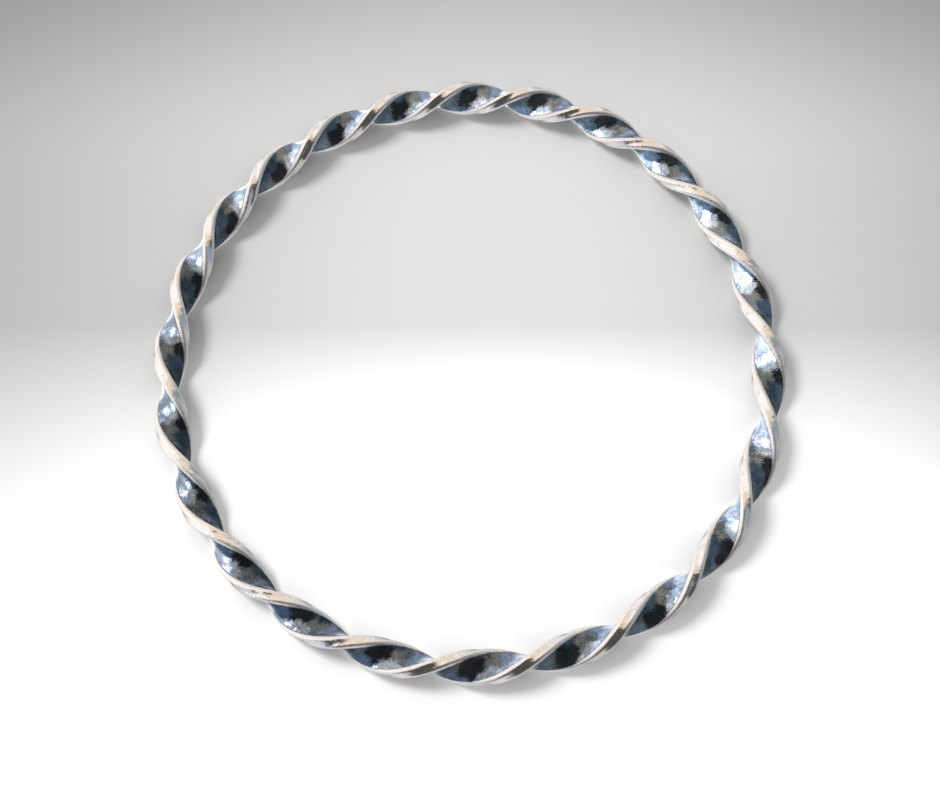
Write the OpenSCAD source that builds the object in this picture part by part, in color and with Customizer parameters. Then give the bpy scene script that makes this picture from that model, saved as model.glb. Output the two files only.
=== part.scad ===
// Twisted wire bangle
// A closed ring bent from one flat wire that was twisted along its length and soldered end to end.
// It lies on its side: Z = 0 is the surface under it, and the Z axis is the ring's own axis.
// Bearings run clockwise from +Y, seen from above.

/* [Ring] */
// Clear diameter inside the ring, where the hand goes through
inner_d = 64.2; // [54:0.1:76]

/* [Wire] */
// Width of the flat wire
wire_w = 3.8; // [2.6:0.1:6]
// Thickness of the flat wire
wire_t = 1.5; // [1:0.05:2.4]
// Radius of the wire's four rounded corners
corner_r = 0.4; // [0.15:0.05:0.5]

/* [Twist] */
// Half turns of the wire round the whole ring
half_turns = 23; // [9:1:35]
// Which way the wire is twisted
hand = "left"; // [left, right]
// Turn of the wire at bearing 0, in degrees
first_turn = -40; // [-90:1:90]

/* [Hidden] */

// How far the twist runs ahead of an even one, as hand twisting leaves it.
// Columns: waves round the ring, size in degrees, bearing of a crest
DRIFT = [
    [1, 65, 75],
    [2, 8, 63],
    [3, 3.5, 35],
    [4, 2.2, -32]
];

// How far the ring is from a true circle, as hand bending leaves it.
// Columns: waves round the ring, size as a share of the mean radius, bearing of a crest
BEND = [
    [2, 0.0025, 71],
    [3, 0.0034, 18],
    [4, 0.0034, 26]
];

// Sections along each half turn, segments in each rounded corner, segments across each wide face
sections_per_half_turn = 14;
corner_steps = 2;
face_steps = 2;

ring_r = (inner_d + wire_w) / 2;
sections = half_turns * sections_per_half_turn;
// Two corners never take more than nine tenths of the edge between them
round_r = min(corner_r, 0.45 * min(wire_w, wire_t));
twist_sign = hand == "left" ? -1 : 1;

function add(v, i = 0) = i < len(v) ? v[i] + add(v, i + 1) : 0;
// Sum of a table's waves at a bearing
function waves(table, bearing) = add([for (row = table) row[1] * cos(row[0] * (bearing - row[2]))]);
// Radius of the wire's centre line, and the wire's turn about that line, at a bearing
function centre_r(bearing) = ring_r * (1 + waves(BEND, bearing));
function turn(bearing) = twist_sign * (first_turn + half_turns * bearing / 2 + waves(DRIFT, bearing));

// One corner of the wire's section, a quarter round starting at angle start
function corner(u, v, start) = [for (k = [0:corner_steps])
    let (a = start + 90 * k / corner_steps) [u + round_r * cos(a), v + round_r * sin(a)]];
// Points inside the flat of a wide face, which runs from u to -u at height v
function flat(u, v) = [for (k = [1:face_steps - 1]) [u - 2 * u * k / face_steps, v]];
// The whole section, counter-clockwise, the same again after half the list with both signs changed
function section() =
    let (u = wire_w / 2 - round_r, v = wire_t / 2 - round_r)
    concat(corner(u, v, 0), flat(u, wire_t / 2), corner(-u, v, 90),
        corner(-u, -v, 180), flat(-u, -wire_t / 2), corner(u, -v, 270));

// A section's point set in the ring: outwards is away from the Z axis, up is +Z
function placed(p, bearing) =
    let (a = turn(bearing), out = centre_r(bearing) + p[0] * cos(a) - p[1] * sin(a))
    [out * sin(bearing), out * cos(bearing), p[0] * sin(a) + p[1] * cos(a)];

// Soldered ring of twisted flat wire, resting on its lowest points
module twisted_wire() {
    outline = section();
    n = len(outline);
    points = [for (i = [0:sections - 1], p = outline) placed(p, 360 * i / sections)];
    // The last section joins the first one, turned over when the number of half turns is odd
    seam = half_turns % 2 == 1 ? n / 2 : 0;
    function at(i, k) = i < sections ? i * n + k % n : (k + seam) % n;
    faces = [for (i = [0:sections - 1], k = [0:n - 1])
        each [[at(i, k), at(i + 1, k), at(i + 1, k + 1)], [at(i, k), at(i + 1, k + 1), at(i, k + 1)]]];
    lowest = min([for (p = points) p[2]]);
    color([0.78, 0.77, 0.75]) translate([0, 0, -lowest]) polyhedron(points, faces, convexity = 10);
}

twisted_wire();
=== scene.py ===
"""A twisted silver wire bangle lying on pale paper, laid out as an add-on.

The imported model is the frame. One new piece, a finer surface of the same twisted wire, stands for its node.
Lengths are metres. Bearings run clockwise from +Y seen from above, and elevations are above the floor.
"""
import math

import bpy
import numpy as np
from bpy.props import BoolProperty, FloatProperty, FloatVectorProperty, IntProperty, PointerProperty
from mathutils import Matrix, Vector


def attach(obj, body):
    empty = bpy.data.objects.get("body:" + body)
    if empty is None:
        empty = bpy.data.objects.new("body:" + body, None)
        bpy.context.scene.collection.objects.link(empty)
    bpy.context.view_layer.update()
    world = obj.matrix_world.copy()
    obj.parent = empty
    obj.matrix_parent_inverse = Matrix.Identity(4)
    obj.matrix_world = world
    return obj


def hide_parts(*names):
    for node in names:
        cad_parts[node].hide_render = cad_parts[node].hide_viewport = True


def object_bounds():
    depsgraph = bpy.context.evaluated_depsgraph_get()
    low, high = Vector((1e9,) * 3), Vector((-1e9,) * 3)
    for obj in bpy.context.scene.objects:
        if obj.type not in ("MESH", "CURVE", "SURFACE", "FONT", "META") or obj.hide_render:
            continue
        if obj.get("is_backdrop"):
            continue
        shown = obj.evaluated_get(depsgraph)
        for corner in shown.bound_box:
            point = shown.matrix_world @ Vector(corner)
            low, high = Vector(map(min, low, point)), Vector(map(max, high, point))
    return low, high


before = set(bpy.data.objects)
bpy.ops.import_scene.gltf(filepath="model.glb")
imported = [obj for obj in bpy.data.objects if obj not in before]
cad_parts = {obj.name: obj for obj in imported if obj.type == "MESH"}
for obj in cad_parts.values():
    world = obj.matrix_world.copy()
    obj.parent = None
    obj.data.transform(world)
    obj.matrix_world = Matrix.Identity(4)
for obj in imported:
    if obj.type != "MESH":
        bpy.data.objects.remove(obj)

bl_info = {
    "name": "Twisted Wire Bangle",
    "version": (1, 0, 0),
    "blender": (4, 5, 0),
    "location": "View3D > Sidebar > Bangle",
    "description": "Makes a twisted silver wire bangle and the small studio that it lies in",
    "category": "Add Mesh",
}

NODE = "twisted_wire"
BODY = "root"
CAD_LOW, CAD_HIGH = (np.array(corner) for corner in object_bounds())

# How far the twist runs ahead of an even one: waves round the ring, size and crest bearing in degrees
DRIFT = ((1, 65.0, 75.0), (2, 8.0, 63.0), (3, 3.5, 35.0), (4, 2.2, -32.0))
# How far the ring is from a true circle: waves, share of the mean radius, crest bearing in degrees
BEND = ((2, 0.0025, 71.0), (3, 0.0034, 18.0), (4, 0.0034, 26.0))

# Edge number of a wide face's rim, between 0 in the middle of the face and 1 on an edge face
RIM = 0.3


def outline(width, thickness, corner, rub, face_steps=14, corner_steps=6, edge_steps=4):
    """The wire's section as a closed outline, counter-clockwise from the middle of one edge.

    A rounded rectangle: each corner is a quarter circle, (corner centre) + corner * (cos a, sin a), and
    straight runs join them, with steps across a wide face of u * cos t. The second half is the first with
    both signs changed. Returns the points and, for each, its edge number. On corners and edge faces that is
    the squared share of its outward direction that lies along the width, or RIM if that is more. On a wide
    face it is RIM * (1 - d / rub)^2 at distance d from the rim, and 0 from d = rub on."""
    u, v = width / 2 - corner, thickness / 2 - corner
    turn = np.linspace(0, math.pi / 2, corner_steps + 1)
    near_edge = np.linspace(0, v, edge_steps // 2 + 1)[:-1]
    face = u * np.cos(np.linspace(0, math.pi, face_steps + 1)[1:-1])
    near_rim = RIM * np.clip(1 - (u - np.abs(face)) / rub, 0, 1) ** 2
    far_edge = np.linspace(v, 0, edge_steps // 2 + 1)[1:-1]
    runs = [
        (width / 2, near_edge, 1),
        (u + corner * np.cos(turn), v + corner * np.sin(turn), np.maximum(np.cos(turn) ** 2, RIM)),
        (face, thickness / 2, near_rim),
        (-u - corner * np.sin(turn), v + corner * np.cos(turn), np.maximum(np.sin(turn) ** 2, RIM)),
        (-width / 2, far_edge, 1),
    ]
    half = np.concatenate([np.stack(np.broadcast_arrays(*run), axis=1) for run in runs])
    points = np.concatenate([half[:, :2], -half[:, :2]])
    return points, np.tile(half[:, 2], 2)


def waves(table, bearing):
    """Sum over a table's rows of size * cos(count * (bearing - crest)), with the bearing in radians."""
    return sum(size * np.cos(count * (bearing - math.radians(crest))) for count, size, crest in table)


def twisted_ring(shape, sections):
    """Points of the twisted wire on a grid of sections by outline points, and each one's edge number.

    At bearing b the centre line is at radius r(b) = mean * (1 + bend waves) and the section is turned about
    it by a(b) = hand * (first turn + half turns * b / 2 + drift waves). A section point (p, q) then lies at
    distance r + p cos a - q sin a from the axis, towards (sin b, cos b), and p sin a + q cos a above the
    centre line. The lowest point of all is at height 0."""
    points, edge = outline(shape.wire_w, shape.wire_t, shape.corner_r, shape.rub_w)
    bearing = np.linspace(0, 2 * math.pi, sections, endpoint=False)[:, None]
    hand = -1 if shape.left_handed else 1
    angle = hand * (shape.first_turn + shape.half_turns * bearing / 2 + np.radians(waves(DRIFT, bearing)))
    radius = (shape.inner_d + shape.wire_w) / 2 * (1 + waves(BEND, bearing))
    p, q = points[:, 0], points[:, 1]
    out = radius + p * np.cos(angle) - q * np.sin(angle)
    up = p * np.sin(angle) + q * np.cos(angle)
    grid = np.stack([out * np.sin(bearing), out * np.cos(bearing), up - up.min()], axis=-1)
    return grid, np.broadcast_to(edge, out.shape)


def ring_quads(sections, around, seam):
    """Corner numbers of the quads that join each section to the next, facing outwards.

    Point k of section i is number i * around + k. The last section joins the first one, whose points are
    taken seam places on, because after an odd number of half turns the wire meets itself turned over."""
    i, k = np.meshgrid(np.arange(sections), np.arange(around), indexing="ij")
    following = (i + 1) % sections
    shift = np.where(i == sections - 1, seam, 0)
    a = i * around + k
    b = i * around + (k + 1) % around
    c = following * around + (k + 1 + shift) % around
    d = following * around + (k + shift) % around
    return np.stack([a, d, c, b], axis=-1).reshape(-1, 4)


def mesh_piece(name, points, quads, attributes=None):
    """A mesh object of whole arrays: points (n, 3), quads (m, 4) and named arrays of n point values."""
    mesh = bpy.data.meshes.new(name)
    mesh.vertices.add(len(points))
    mesh.vertices.foreach_set("co", np.ascontiguousarray(points, np.float32).ravel())
    mesh.loops.add(quads.size)
    mesh.loops.foreach_set("vertex_index", np.ascontiguousarray(quads, np.int32).ravel())
    mesh.polygons.add(len(quads))
    mesh.polygons.foreach_set("loop_start", np.arange(0, quads.size, 4, dtype=np.int32))
    mesh.polygons.foreach_set("use_smooth", np.ones(len(quads), bool))
    mesh.update(calc_edges=True)
    for key, values in (attributes or {}).items():
        layer = mesh.attributes.new(key, "FLOAT", "POINT")
        layer.data.foreach_set("value", np.ascontiguousarray(values, np.float32).ravel())
    piece = bpy.data.objects.new(name, mesh)
    bpy.context.scene.collection.objects.link(piece)
    return piece


class NodeSheet:
    """Adds nodes to one tree and joins them, so that a material reads as a list of its steps."""

    def __init__(self, tree):
        self.tree = tree

    def add(self, kind, settings=None, **inputs):
        """A node of that kind with its settings. Inputs go by name, or by place as i0, i1 and so on."""
        node = self.tree.nodes.new(kind)
        for key, value in (settings or {}).items():
            setattr(node, key, value)
        for key, value in inputs.items():
            place = int(key[1:]) if key[1:].isdigit() else key
            self.put(node.inputs[place], value)
        return node

    def put(self, socket, value):
        """Joins an output to the socket, or sets the socket's own value."""
        if isinstance(value, bpy.types.NodeSocket):
            self.tree.links.new(value, socket)
        else:
            socket.default_value = value

    def math(self, operation, a, b=0.0, clamp=False):
        """One Math node's result."""
        node = self.add("ShaderNodeMath", {"operation": operation, "use_clamp": clamp}, i0=a, i1=b)
        return node.outputs[0]

    def vector(self, operation, a, b):
        """One Vector Math node's result, which is a single value for a dot product."""
        node = self.add("ShaderNodeVectorMath", {"operation": operation}, i0=a, i1=b)
        return node.outputs["Value" if operation == "DOT_PRODUCT" else "Vector"]

    def scaled(self, a, factor):
        """Vector or colour a times one factor."""
        node = self.add("ShaderNodeVectorMath", {"operation": "SCALE"}, i0=a, Scale=factor)
        return node.outputs["Vector"]

    def blend(self, share, a, b, kind="MIX"):
        """Colour a with b laid on it by share."""
        node = self.add("ShaderNodeMix", {"data_type": "RGBA", "blend_type": kind}, i0=share, i6=a, i7=b)
        return node.outputs[2]

    def step(self, value, low, high, start=0.0, end=1.0):
        """A smooth step from start to end as value goes from low to high."""
        node = self.add("ShaderNodeMapRange", {"interpolation_type": "SMOOTHSTEP"},
                        i0=value, i1=low, i2=high, i3=start, i4=end)
        return node.outputs[0]

    def noise(self, place, scale, detail, roughness):
        """Plain 3-D noise at a place, around one half."""
        node = self.add("ShaderNodeTexNoise", {"noise_dimensions": "3D"}, Vector=place,
                        Scale=scale, Detail=detail, Roughness=roughness)
        return node.outputs[0]


def mask_group(name, vectors, numbers, mask):
    """A node group, built once, whose one output is what mask() works out from its inputs.

    vectors are the names of the vector inputs, and numbers the names and defaults of the plain ones."""
    if name in bpy.data.node_groups:
        return bpy.data.node_groups[name]
    tree = bpy.data.node_groups.new(name, "ShaderNodeTree")
    face = tree.interface
    for label in vectors:
        face.new_socket(label, in_out="INPUT", socket_type="NodeSocketVector")
    for label, default in numbers:
        face.new_socket(label, in_out="INPUT", socket_type="NodeSocketFloat").default_value = default
    face.new_socket("Mask", in_out="OUTPUT", socket_type="NodeSocketFloat")
    sheet = NodeSheet(tree)
    given = sheet.add("NodeGroupInput").outputs
    sheet.add("NodeGroupOutput", Mask=mask(sheet, given))
    return tree


# Roughness of the noise behind all blotches
BLOTCH_ROUGHNESS = 0.6


def mottle_mask(sheet, given):
    """Soft blotches, from 0 to 1: a smooth step of noise from level - softness to level + softness."""
    noise = sheet.noise(given["Vector"], given["Scale"], given["Detail"], BLOTCH_ROUGHNESS)
    low = sheet.math("SUBTRACT", given["Level"], given["Softness"])
    high = sheet.math("ADD", given["Level"], given["Softness"])
    return sheet.step(noise, low, high)


def mottle(sheet, place, scale, detail, level, softness):
    """The mottle group placed in a material with its own values."""
    numbers = (("Scale", 100.0), ("Detail", 4.0), ("Level", 0.5), ("Softness", 0.1))
    group = mask_group("mottle", ("Vector",), numbers, mottle_mask)
    node = sheet.add("ShaderNodeGroup", {"node_tree": group}, Vector=place, Scale=scale, Detail=detail,
                     Level=level, Softness=softness)
    return node.outputs["Mask"]


def new_material(name):
    """An empty node material, its sheet and its Principled shader, joined to the output."""
    material = bpy.data.materials.new(name)
    material.use_nodes = True
    material.node_tree.nodes.clear()
    sheet = NodeSheet(material.node_tree)
    shader = sheet.add("ShaderNodeBsdfPrincipled")
    sheet.add("ShaderNodeOutputMaterial", Surface=shader.outputs[0])
    return material, sheet, shader


# Blotches of the silver, from large to small.
# Columns: scale and detail of the noise, then level and softness of the mask
CLOUD = (420.0, 2.0, 0.50, 0.12)
PATCH = (1300.0, 2.0, 0.47, 0.10)
FLECK = (3600.0, 2.0, 0.55, 0.08)
GRAIN = (5600.0, 1.0, 0.50, 0.22)
# How far tarnish covers the patina's specks
TARNISH_SHARE = 0.30
# How far the grain shades the patina, and with what
GRAIN_SHARE = 0.4
GRAIN_SHADE = (0.5, 0.5, 0.5)
# Edge numbers between which the patina is worn off, and what the grain adds to the edge number
WORN_FROM = 0.07
WORN_TO = 0.23
WORN_GRAIN = 0.06
# Residue on the bare metal: the edge number where it starts, what the grain takes off the edge number,
# its largest share on the edge faces, and its share on specks
RESIDUE_FROM = 0.15
RESIDUE_GRAIN = 0.35
RESIDUE_MOST = 0.18
RESIDUE_SPECKS = 0.14
# Edge number from which the bare metal turns from the corners' roughness to the edges' own
SMOOTH_FROM = 0.5
# Tint of the metal's reflection near grazing angles
GRAZING_TINT = (0.5, 0.5, 0.5)
# Noise of the fine pits
PIT_SCALE = 2200.0
PIT_DETAIL = 2.0
PIT_ROUGHNESS = 0.65


def silver_material(finish):
    """Silver with a blue-black patina on the wide faces, worn to bare metal on the edges, corners and rims.

    The patina carries a painted sheen. Its colours are taken times 1 + swing * d / radius, where d is the
    distance from the middle towards one side. So it is painted lighter on that side of the ring and darker on
    the other, in place of brighter and dimmer reflections there."""
    material, sheet, shader = new_material("patinated_silver")
    spot = sheet.add("ShaderNodeTexCoord").outputs["Object"]
    edge = sheet.add("ShaderNodeAttribute", {"attribute_name": "edge"}).outputs["Fac"]

    cloud, patch, fleck, grain = (mottle(sheet, spot, *row) for row in (CLOUD, PATCH, FLECK, GRAIN))
    speck = sheet.math("MULTIPLY", fleck, patch)
    # Painted sheen: the patina is made lighter towards one side of the ring and darker towards the other,
    # standing in for brighter and dimmer reflections
    sheen_side = towards(math.degrees(finish.sheen_bearing), 0) * (finish.sheen_swing / CAD_HIGH[0])
    painted_sheen = sheet.math("ADD", sheet.vector("DOT_PRODUCT", spot, sheen_side), 1.0)

    patina = sheet.blend(cloud, (*finish.patina_deep, 1.0), (*finish.patina_pale, 1.0))
    patina = sheet.blend(sheet.math("MULTIPLY", speck, TARNISH_SHARE), patina, (*finish.tarnish, 1.0))
    shade = sheet.math("MULTIPLY", grain, GRAIN_SHARE)
    patina = sheet.blend(shade, patina, (*GRAIN_SHADE, 1.0), "MULTIPLY")
    # The painted sheen laid on the patina
    patina = sheet.blend(1.0, patina, painted_sheen, "MULTIPLY")

    rubbed = sheet.math("SUBTRACT", edge, sheet.math("MULTIPLY", grain, RESIDUE_GRAIN))
    left = sheet.step(rubbed, RESIDUE_FROM, 1.0, 0.0, RESIDUE_MOST)
    left = sheet.math("ADD", left, sheet.math("MULTIPLY", speck, RESIDUE_SPECKS))
    metal = sheet.blend(left, (*finish.bare_silver, 1.0), (*finish.residue, 1.0))

    grained = sheet.math("ADD", edge, sheet.math("MULTIPLY", grain, WORN_GRAIN))
    worn = sheet.step(grained, WORN_FROM, WORN_TO)
    sheet.put(shader.inputs["Base Color"], sheet.blend(worn, patina, metal))

    metal_roughness = sheet.step(edge, SMOOTH_FROM, 1.0, finish.corner_roughness, finish.bare_roughness)
    rough = sheet.add("ShaderNodeMix", {"data_type": "FLOAT"}, i0=worn, i2=finish.patina_roughness,
                      i3=metal_roughness)
    sheet.put(shader.inputs["Roughness"], rough.outputs[0])
    sheet.put(shader.inputs["Metallic"], 1.0)
    sheet.put(shader.inputs["Specular Tint"], (*GRAZING_TINT, 1.0))

    pits = sheet.noise(spot, PIT_SCALE, PIT_DETAIL, PIT_ROUGHNESS)
    bump = sheet.add("ShaderNodeBump", Strength=1.0, Distance=finish.pit_depth, Height=pits)
    sheet.put(shader.inputs["Normal"], bump.outputs[0])
    return material


# X of the paper's middle line, how far from it the painted shade of the sides is darkest, and the share left
# there
PAPER_MIDDLE = 0.0058
SIDE_REACH = 0.090
SIDE_SHADE = 0.514
# Y where the painted shade of the far part starts and where it is darkest, and the share left there
BACK_FROM = 0.026
BACK_TO = 0.058
BACK_SHADE = 0.58
# Width of the change from painted grey to white on the middle line, and its growth with the square of the
# distance
TURN_WIDTH = 0.0062
TURN_SPREAD = 6.0
PAPER_ROUGHNESS = 0.95


def paper_material(studio):
    """Matt pale paper, white near the camera, with painted shade: grey beyond, and darker at both sides and
    at the back, in place of light falling off away from the near middle.

    With x from the middle line, the far part is far * s(x) * b(y), where s steps smoothly from 1 to
    SIDE_SHADE and b from 1 to BACK_SHADE. From the grade line towards the camera, the share of white grows
    evenly over a width of TURN_WIDTH + TURN_SPREAD * x^2."""
    material, sheet, shader = new_material("paper_with_painted_falloff")
    spot = sheet.add("ShaderNodeTexCoord").outputs["Object"]
    parts = sheet.add("ShaderNodeSeparateXYZ", Vector=spot).outputs
    across = sheet.math("SUBTRACT", parts["X"], PAPER_MIDDLE)
    # Painted shade: the far paper grows darker towards the sides and the back
    side = sheet.step(sheet.math("ABSOLUTE", across), 0.0, SIDE_REACH, 1.0, SIDE_SHADE)
    back = sheet.step(parts["Y"], BACK_FROM, BACK_TO, 1.0, BACK_SHADE)
    shaded_far = sheet.scaled(studio.far_paper_shade, sheet.math("MULTIPLY", side, back))
    spread = sheet.math("MULTIPLY", sheet.math("MULTIPLY", across, across), TURN_SPREAD)
    width = sheet.math("ADD", spread, TURN_WIDTH)
    near = sheet.math("DIVIDE", sheet.math("SUBTRACT", studio.grade_line, parts["Y"]), width, clamp=True)
    sheet.put(shader.inputs["Base Color"], sheet.blend(near, shaded_far, (*studio.paper_near, 1.0)))
    sheet.put(shader.inputs["Roughness"], PAPER_ROUGHNESS)
    sheet.put(shader.inputs["Specular IOR Level"], 0.0)
    return material


# What stands round the bangle, far off, painted in this order, each over the ones before.
# Columns: name; bearing and elevation of the middle, half width and half height, all in degrees; softness
# as a share of the half size; colour
ROOM_CARDS = (
    ("ground", 0.0, -90.0, 89.0, 89.0, 0.08, (0.54, 0.57, 0.60)),
    ("ground near", 182.0, -60.0, 38.0, 40.0, 0.35, (0.66, 0.78, 0.90)),
    ("ground far left", 303.0, -36.0, 46.0, 38.0, 0.22, (5.2, 5.5, 6.3)),
    ("far low", 10.0, -2.0, 32.0, 30.0, 0.30, (1.55, 1.70, 2.10)),
    ("ceiling", 345.0, 50.0, 62.0, 34.0, 0.14, (1.10, 1.02, 0.92)),
    ("lamp", 352.0, 66.0, 34.0, 17.0, 0.35, (1.22, 1.03, 0.80)),
    ("ceiling left", 286.0, 52.0, 32.0, 20.0, 0.30, (3.2, 3.1, 3.05)),
    ("left wall", 285.0, 6.0, 42.0, 35.0, 0.12, (4.7, 4.8, 5.4)),
    ("window", 283.0, 23.0, 11.0, 17.0, 0.15, (14.0, 14.0, 14.0)),
    ("window near", 250.0, 16.0, 9.0, 18.0, 0.15, (11.0, 11.0, 11.2)),
    ("window far", 316.0, 4.0, 7.0, 10.0, 0.20, (8.0, 8.3, 8.8)),
    ("right wall", 70.0, 18.0, 24.0, 36.0, 0.25, (0.28, 0.38, 0.46)),
    ("right wall near", 103.0, 4.0, 15.0, 46.0, 0.25, (0.30, 0.40, 0.49)),
    ("near left", 223.0, -18.0, 20.0, 38.0, 0.30, (0.72, 1.00, 1.42)),
)
# The paper as the blurred reflections of the worn metal see it, with the same columns
LOW_CARDS = (
    ("paper", 122.0, -60.0, 78.0, 44.0, 0.30, (0.57, 0.58, 0.60)),
    ("paper near", 195.0, -46.0, 34.0, 34.0, 0.45, (0.88, 0.89, 0.96)),
)
# Colour of the room behind its cards
ROOM_GLOW = (0.116, 0.120, 0.128)
# Where the metal blurs the room, each brightness x is seen as top * x^power / (x^power + knee)
BLURRED_TOP = 1.22
BLURRED_KNEE = (0.40, 0.46, 0.50)
BLURRED_POWER = 1.6
# What the camera sees past the paper, and the even light that the paper gets
BACKDROP = (0.80, 0.80, 0.79)
FILL = (0.64, 0.64, 0.64)
# Power of a card's rounded outline: 2 is an ellipse, and more is squarer
CARD_POWER = 4.0
# A card's mask fades in while a direction's part along the card's middle goes from 0 to this, so that the
# card shows on its own side of the room only
CARD_FRONT = 0.1


def towards(bearing, elevation):
    """Unit vector at a bearing and elevation in degrees: (sin b cos e, cos b cos e, sin e)."""
    b, e = math.radians(bearing), math.radians(elevation)
    return Vector((math.sin(b) * math.cos(e), math.cos(b) * math.cos(e), math.sin(e)))


def card_mask(sheet, given):
    """One rounded card seen from the middle of the room, from 1 inside to 0 outside.

    With u and v the direction's parts along the card's across and up vectors, each over its half size, and
    n the card's power, the distance is (|u|^n + |v|^n)^(1/n). The mask is a smooth step down between the
    distances 1 - softness and 1 + softness, on the card's own side of the room."""
    u, v, ahead = (sheet.vector("DOT_PRODUCT", given["Way"], given[label])
                   for label in ("Across", "Up", "Middle"))
    powers = [sheet.math("POWER", sheet.math("ABSOLUTE", part), CARD_POWER) for part in (u, v)]
    distance = sheet.math("POWER", sheet.math("ADD", *powers), 1 / CARD_POWER)
    inner = sheet.math("SUBTRACT", 1.0, given["Softness"])
    outer = sheet.math("ADD", 1.0, given["Softness"])
    inside = sheet.step(distance, inner, outer, 1.0, 0.0)
    return sheet.math("MULTIPLY", inside, sheet.step(ahead, 0.0, CARD_FRONT))


def painted(sheet, way, colour, cards):
    """The colour with a table's cards painted on it, one after the other."""
    group = mask_group("room_card", ("Way", "Middle", "Across", "Up"), (("Softness", 0.3),), card_mask)
    for _, bearing, elevation, wide, high, softness, own in cards:
        middle = towards(bearing, elevation)
        across = towards(bearing + 90, 0) / math.sin(math.radians(wide))
        up = towards(bearing, elevation + 90) / math.sin(math.radians(high))
        card = sheet.add("ShaderNodeGroup", {"node_tree": group}, Way=way, Middle=middle, Across=across,
                         Up=up, Softness=softness)
        colour = sheet.blend(card.outputs["Mask"], colour, (*own, 1.0))
    return colour


def room_light():
    """The world: a dim room with its cards painted in, as the silver mirrors it.

    Blurred reflections see it with its bright parts held back, so that the worn metal keeps its colour
    beside the window, and with the paper painted in below. The paper gets an even fill light from it, and
    the camera itself sees a plain backdrop."""
    world = bpy.data.worlds.new("studio_room")
    bpy.context.scene.world = world
    world.cycles.sampling_method = "NONE"
    world.use_nodes = True
    world.node_tree.nodes.clear()
    sheet = NodeSheet(world.node_tree)
    way = sheet.add("ShaderNodeTexCoord").outputs["Generated"]
    ray = sheet.add("ShaderNodeLightPath").outputs

    sharp = painted(sheet, way, (*ROOM_GLOW, 1.0), ROOM_CARDS)
    raised = sheet.add("ShaderNodeGamma", Color=sharp, Gamma=BLURRED_POWER).outputs[0]
    share = sheet.vector("DIVIDE", raised, sheet.vector("ADD", raised, BLURRED_KNEE))
    blurred = painted(sheet, way, sheet.scaled(share, BLURRED_TOP), LOW_CARDS)

    seen = sheet.blend(ray["Is Singular Ray"], blurred, sharp)
    seen = sheet.blend(ray["Is Diffuse Ray"], seen, (*FILL, 1.0))
    seen = sheet.blend(ray["Is Camera Ray"], seen, (*BACKDROP, 1.0))
    back = sheet.add("ShaderNodeBackground", Color=seen)
    sheet.add("ShaderNodeOutputWorld", Surface=back.outputs[0])


def key_light(studio):
    """A round soft light from the far left. It lights the paper and isn't mirrored in the silver."""
    lamp = bpy.data.lights.new("key_light", "AREA")
    lamp.shape = "DISK"
    lamp.size = studio.key_size
    lamp.energy = studio.key_power
    key = bpy.data.objects.new("key_light", lamp)
    bpy.context.scene.collection.objects.link(key)
    away = towards(math.degrees(studio.key_bearing), math.degrees(studio.key_elevation))
    key.location = away * studio.key_distance
    key.rotation_euler = away.to_track_quat("Z", "Y").to_euler()
    key.visible_glossy = False


# Bearing of the camera, the width of its sensor in millimetres, and the nearest distance that it sees
CAMERA_BEARING = 180.0
SENSOR_WIDTH = 36.0
NEAREST = 0.005


def camera(studio):
    """The camera on the near side, aimed at a point of the bangle's middle plane."""
    lens = bpy.data.cameras.new("camera")
    lens.lens = studio.lens
    lens.sensor_width = SENSOR_WIDTH
    lens.clip_start = NEAREST
    view = bpy.data.objects.new("camera", lens)
    bpy.context.scene.collection.objects.link(view)
    middle = Vector((0.0, 0.0, CAD_HIGH[2] / 2))
    away = towards(CAMERA_BEARING, math.degrees(studio.camera_elevation))
    view.location = middle + away * studio.camera_distance
    aim = middle + Vector((studio.aim_x, studio.aim_y, 0.0))
    view.rotation_euler = (aim - view.location).to_track_quat("-Z", "Y").to_euler()
    bpy.context.scene.camera = view


class BangleShape(bpy.types.PropertyGroup):
    """Sizes of the twisted wire, as the frame has them, and the reach of its wear."""
    inner_d: FloatProperty(name="Clear diameter", description="Diameter inside the ring", default=0.0642,
                           unit="LENGTH")
    wire_w: FloatProperty(name="Wire width", description="Width of the flat wire", default=0.0038,
                          unit="LENGTH")
    wire_t: FloatProperty(name="Wire thickness", description="Thickness of the flat wire", default=0.0015,
                          unit="LENGTH")
    corner_r: FloatProperty(name="Corner radius", description="Radius of the wire's rounded corners",
                            default=0.0004, unit="LENGTH")
    rub_w: FloatProperty(name="Rubbed width", description="How far the wear reaches onto the wide faces",
                         default=0.00038, unit="LENGTH")
    half_turns: IntProperty(name="Half turns", description="Half turns of the wire round the ring",
                            default=23)
    first_turn: FloatProperty(name="First turn", description="Turn of the wire at bearing 0",
                              default=math.radians(-40), subtype="ANGLE")
    left_handed: BoolProperty(name="Left-handed", description="Twist the wire to the left", default=True)
    sections_per_half_turn: IntProperty(name="Sections", description="Sections along each half turn",
                                        default=60)


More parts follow.
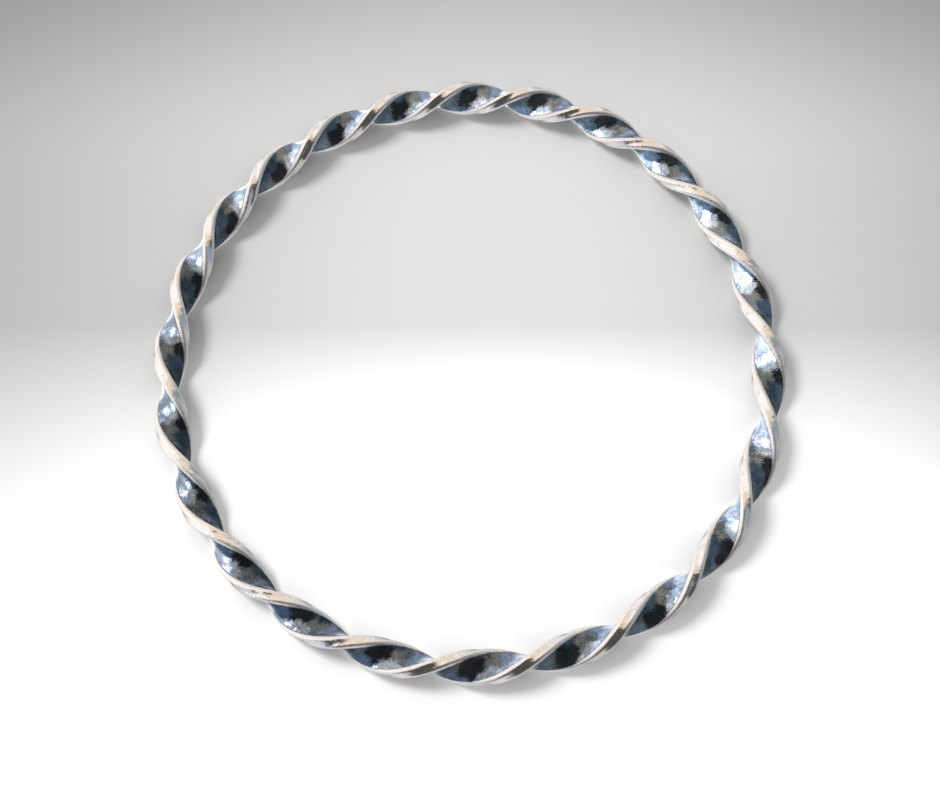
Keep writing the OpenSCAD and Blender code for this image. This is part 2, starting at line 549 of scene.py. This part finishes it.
class BangleFinish(bpy.types.PropertyGroup):
    """Colours and textures of the silver."""
    bare_silver: FloatVectorProperty(name="Bare silver", description="Worn metal on the corners and edges",
                                     default=(0.95, 0.90, 0.86), subtype="COLOR", size=3)
    patina_deep: FloatVectorProperty(name="Deep patina", description="Darkest metal of the wide faces",
                                     default=(0.082, 0.101, 0.122), subtype="COLOR", size=3)
    patina_pale: FloatVectorProperty(name="Pale patina", description="Lightest metal of the wide faces",
                                     default=(0.160, 0.186, 0.215), subtype="COLOR", size=3)
    tarnish: FloatVectorProperty(name="Tarnish", description="Straw-coloured blotches of the wide faces",
                                 default=(0.44, 0.40, 0.33), subtype="COLOR", size=3)
    residue: FloatVectorProperty(name="Residue", description="Dark specks left on the worn metal",
                                 default=(0.34, 0.28, 0.25), subtype="COLOR", size=3)
    # Painted sheen: the side where the patina is painted lighter, and by how much, in place of brighter
    # reflections there
    sheen_bearing: FloatProperty(name="Thin side", description="Bearing of the side with the least patina",
                                default=math.radians(55), subtype="ANGLE")
    sheen_swing: FloatProperty(name="Thin swing", description="How much the patina varies round the ring",
                              default=0.40, subtype="FACTOR")
    bare_roughness: FloatProperty(name="Edge roughness", description="Roughness of the worn edge faces",
                                  default=0.15)
    corner_roughness: FloatProperty(name="Corner roughness", description="Roughness of the worn corners",
                                    default=0.48)
    patina_roughness: FloatProperty(name="Patina roughness", default=0.003,
                                    description="Roughness of the patina, low enough to mirror sharply")
    pit_depth: FloatProperty(name="Pit depth", description="Depth of the fine pits", default=0.000042,
                             unit="LENGTH")


class BangleStudio(bpy.types.PropertyGroup):
    """Camera, paper and key light."""
    camera_elevation: FloatProperty(name="Camera elevation", description="Height angle of the camera",
                                    default=math.radians(72.25), subtype="ANGLE")
    camera_distance: FloatProperty(name="Camera distance", description="Distance from the bangle's middle",
                                   default=0.184, unit="LENGTH")
    lens: FloatProperty(name="Lens", description="Focal length in millimetres", default=61.95)
    aim_x: FloatProperty(name="Aim across", description="Where the camera looks, along X", default=0.0,
                         unit="LENGTH")
    aim_y: FloatProperty(name="Aim along", description="Where the camera looks, along Y", default=-0.00306,
                         unit="LENGTH")
    paper_near: FloatVectorProperty(name="Near paper", description="Paper colour at the near side",
                                    default=(0.95, 0.95, 0.94), subtype="COLOR", size=3)
    # Painted shade: the grey of the far paper, darker than the near white in place of light falling off
    far_paper_shade: FloatVectorProperty(name="Far paper", description="Paper colour behind the middle",
                                   default=(0.70, 0.70, 0.685), subtype="COLOR", size=3)
    grade_line: FloatProperty(name="Grade line", description="Y where the paper starts to turn white",
                              default=0.0059, unit="LENGTH")
    paper_size: FloatProperty(name="Paper size", description="Side of the square sheet", default=4.0,
                              unit="LENGTH")
    key_bearing: FloatProperty(name="Key bearing", description="Bearing of the key light",
                               default=math.radians(298), subtype="ANGLE")
    key_elevation: FloatProperty(name="Key elevation", description="Height angle of the key light",
                                 default=math.radians(52), subtype="ANGLE")
    key_distance: FloatProperty(name="Key distance", description="Distance from the origin", default=0.9,
                                unit="LENGTH")
    key_size: FloatProperty(name="Key size", description="Diameter of the key light", default=0.32,
                            unit="LENGTH")
    key_power: FloatProperty(name="Key power", description="Power of the key light", default=5.2,
                             unit="POWER")


class BANGLE_OT_twisted_wire(bpy.types.Operator):
    """Adds the twisted wire and its patinated silver, in place of the frame's node"""
    bl_idname = "bangle.twisted_wire"
    bl_label = "Twisted Wire"

    def execute(self, context):
        shape = context.scene.bangle_shape
        if shape.corner_r >= min(shape.wire_w, shape.wire_t) / 2:
            raise ValueError("The corners leave no flat between them: use smaller corners or thicker wire")
        sections = shape.half_turns * shape.sections_per_half_turn
        grid, edge = twisted_ring(shape, sections)
        around = grid.shape[1]
        seam = around // 2 if shape.half_turns % 2 else 0
        quads = ring_quads(sections, around, seam)
        piece = mesh_piece("twisted_silver_wire", grid.reshape(-1, 3), quads, {"edge": edge})
        piece.data.materials.append(silver_material(context.scene.bangle_finish))
        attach(piece, BODY)
        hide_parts(NODE)
        return {"FINISHED"}


class BANGLE_OT_stage(bpy.types.Operator):
    """Adds the paper floor, the room's soft light, the key light and the camera"""
    bl_idname = "bangle.stage"
    bl_label = "Stage"

    def execute(self, context):
        studio = context.scene.bangle_studio
        half = studio.paper_size / 2
        if studio.camera_distance * math.cos(studio.camera_elevation) > half:
            raise ValueError("The camera stands beyond the paper: use a larger sheet or move the camera in")
        corners = np.array([(-half, -half, 0), (half, -half, 0), (half, half, 0), (-half, half, 0)])
        floor = mesh_piece("paper_floor", corners, np.array([[0, 1, 2, 3]]))
        floor.data.materials.append(paper_material(studio))
        floor.visible_glossy = False
        floor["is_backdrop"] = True
        room_light()
        key_light(studio)
        camera(studio)
        context.scene.view_settings.view_transform = "Standard"
        return {"FINISHED"}


class BANGLE_PT_sidebar(bpy.types.Panel):
    """Lists the operators and their values in the 3D view's sidebar"""
    bl_idname = "BANGLE_PT_sidebar"
    bl_label = "Twisted Wire Bangle"
    bl_space_type = "VIEW_3D"
    bl_region_type = "UI"
    bl_category = "Bangle"

    def draw(self, context):
        for label, group, operator in (("Wire", "bangle_shape", BANGLE_OT_twisted_wire),
                                       ("Finish", "bangle_finish", None),
                                       ("Studio", "bangle_studio", BANGLE_OT_stage)):
            box = self.layout.box()
            box.label(text=label)
            values = getattr(context.scene, group)
            for key in values.__annotations__:
                box.prop(values, key)
            if operator:
                box.operator(operator.bl_idname)


GROUPS = {"bangle_shape": BangleShape, "bangle_finish": BangleFinish, "bangle_studio": BangleStudio}
CLASSES = (*GROUPS.values(), BANGLE_OT_twisted_wire, BANGLE_OT_stage, BANGLE_PT_sidebar)


def register():
    """Registers the classes and hangs the property groups on the scene."""
    for one in CLASSES:
        bpy.utils.register_class(one)
    for key, group in GROUPS.items():
        setattr(bpy.types.Scene, key, PointerProperty(type=group))


def unregister():
    """Takes back what register did."""
    for key in GROUPS:
        delattr(bpy.types.Scene, key)
    for one in reversed(CLASSES):
        bpy.utils.unregister_class(one)


def main():
    register()
    bpy.ops.bangle.twisted_wire()
    bpy.ops.bangle.stage()


if __name__ == "__main__":
    main()
